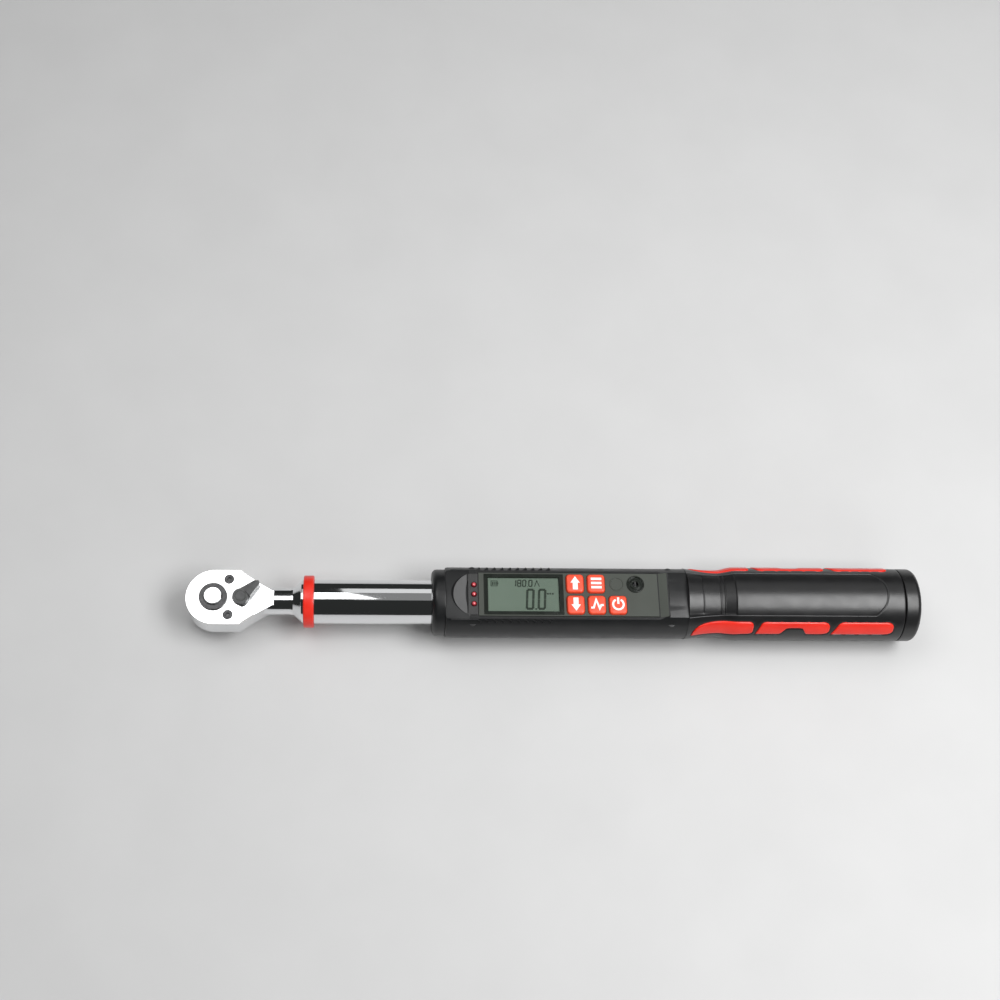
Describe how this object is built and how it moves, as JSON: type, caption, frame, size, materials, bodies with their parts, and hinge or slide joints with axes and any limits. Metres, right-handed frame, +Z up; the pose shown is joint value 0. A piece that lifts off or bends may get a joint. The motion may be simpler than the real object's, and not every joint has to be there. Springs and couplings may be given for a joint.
{
  "type": "torque wrench",
  "caption": "Electronic torque wrench: reversible ratchet head with a square drive, chrome tube, display housing with keys, and a rubber grip with a battery cap.",
  "frame": {"origin": "centre of the square drive at its shoulder face", "axes": "+X along the wrench from the head to the handle, +Z up out of the display side, the square drive points along -Z"},
  "size_m": [0.4998, 0.05, 0.05],
  "materials": {
    "chrome_shell": "polished chrome plate",
    "dark_steel": "satin dark steel",
    "bright_steel": "bright steel",
    "red_plastic": "smooth red plastic",
    "housing_plastic": "satin black plastic",
    "inner_plastic": "plain moulded plastic",
    "panel_plastic": "fine matt film",
    "bezel_plastic": "gloss dark plastic",
    "window_glass": "clear window",
    "display_face": "grey-green reflective display",
    "led_red": "clear red lens",
    "key_rubber": "soft orange-red silicone",
    "black_rubber": "soft black rubber",
    "contact_rubber": "striped contact rubber",
    "board_green": "green solder mask",
    "chip_black": "moulded package",
    "wire_red": "wire insulation",
    "gauge_foil": "etched foil",
    "cell_sleeve": "printed metal sleeve"
  },
  "bodies": {
    "wrench": {"ratchet_head": "chrome_shell", "head_cover": "chrome_shell", "cover_screws": "dark_steel", "torque_beam": "bright_steel", "strain_gauges": "gauge_foil", "gauge_wires": "wire_red", "beam_pins": "bright_steel", "beam_bush": "inner_plastic", "colour_ring": "red_plastic", "tube": "chrome_shell", "front_collar": "housing_plastic", "housing_upper": "housing_plastic", "housing_lower": "housing_plastic", "housing_screws": "bright_steel", "faceplate": "panel_plastic", "display_bezel": "bezel_plastic", "display_window": "window_glass", "display_module": "display_face", "display_connector": "contact_rubber", "led_strip": "housing_plastic", "leds": "led_red", "key_mat": "black_rubber", "key_switches": "bright_steel", "blank_plug": "panel_plastic", "buzzer_cap": "panel_plastic", "buzzer": "inner_plastic", "circuit_board": "board_green", "board_parts": "chip_black", "board_screws": "bright_steel", "handle_tube": "bright_steel", "grip_core": "inner_plastic", "rubber_grip": "black_rubber", "inlays_left": "red_plastic", "inlays_right": "red_plastic", "battery_sleeve": "inner_plastic", "front_contact": "bright_steel", "power_leads": "wire_red"},
    "drive": {"drive_gear": "dark_steel", "release_spring": "bright_steel"},
    "release": {"release_button": "chrome_shell"},
    "ball": {"detent_ball": "bright_steel"},
    "lever": {"reverse_lever": "dark_steel", "selector_shaft": "dark_steel", "pawl_plunger": "bright_steel", "pawl_spring": "bright_steel", "lever_clip": "bright_steel"},
    "pawl_body": {"pawl": "dark_steel"},
    "up_key": {"key_up": "key_rubber"},
    "memory_key": {"key_memory": "key_rubber"},
    "down_key": {"key_down": "key_rubber"},
    "mode_key": {"key_mode": "key_rubber"},
    "power_key": {"key_power": "key_rubber"},
    "cap_ring": {"cap_seal": "black_rubber"},
    "cap": {"battery_cap": "housing_plastic", "cap_spring": "bright_steel"},
    "cells": {"batteries": "cell_sleeve"}
  },
  "joints": [
    {"name": "drive_spin", "type": "hinge", "parent": "wrench", "child": "drive", "pos_m": [0, 0, 0], "axis": [0, 0, 1], "continuous": true},
    {"name": "release_press", "type": "slide", "parent": "drive", "child": "release", "axis": [0, 0, -1], "range_m": [0, 0.003], "stiffness_N_per_m": 500, "deforming": ["release_spring"]},
    {"name": "ball_retract", "type": "slide", "parent": "drive", "child": "ball", "axis": [0, 1, 0], "range_m": [0, 0.0011]},
    {"name": "lever_flip", "type": "hinge", "parent": "wrench", "child": "lever", "pos_m": [0.0184, 0, 0.0095], "axis": [0, 0, 1], "range_deg": [-87, 0]},
    {"name": "pawl_rock", "type": "hinge", "parent": "wrench", "child": "pawl_body", "pos_m": [0, 0, 0.0095], "axis": [0, 0, 1], "range_deg": [0, 16.01]},
    {"name": "press_up", "type": "slide", "parent": "wrench", "child": "up_key", "axis": [0, 0, -1], "range_m": [0, 0.0008], "stiffness_N_per_m": 800},
    {"name": "press_memory", "type": "slide", "parent": "wrench", "child": "memory_key", "axis": [0, 0, -1], "range_m": [0, 0.0008], "stiffness_N_per_m": 800},
    {"name": "press_down", "type": "slide", "parent": "wrench", "child": "down_key", "axis": [0, 0, -1], "range_m": [0, 0.0008], "stiffness_N_per_m": 800},
    {"name": "press_mode", "type": "slide", "parent": "wrench", "child": "mode_key", "axis": [0, 0, -1], "range_m": [0, 0.0008], "stiffness_N_per_m": 800},
    {"name": "press_power", "type": "slide", "parent": "wrench", "child": "power_key", "axis": [0, 0, -1], "range_m": [0, 0.0008], "stiffness_N_per_m": 800},
    {"name": "cap_pull", "type": "slide", "parent": "wrench", "child": "cap_ring", "axis": [1, 0, 0], "range_m": [0, 0.08]},
    {"name": "cap_twist", "type": "hinge", "parent": "cap_ring", "child": "cap", "pos_m": [0.475, 0, 0.0095], "axis": [1, 0, 0], "range_deg": [0, 90]},
    {"name": "cells_slide", "type": "slide", "parent": "wrench", "child": "cells", "axis": [1, 0, 0], "range_m": [0, 0.04]}
  ],
  "couplings": [
    {"joint": "ball_retract", "follows": "release_press", "ratio": 0.366},
    {"joint": "pawl_rock", "follows": "lever_flip", "ratio": -0.184},
    {"joint": "cells_slide", "follows": "cap_pull", "ratio": 0.5}
  ]
}
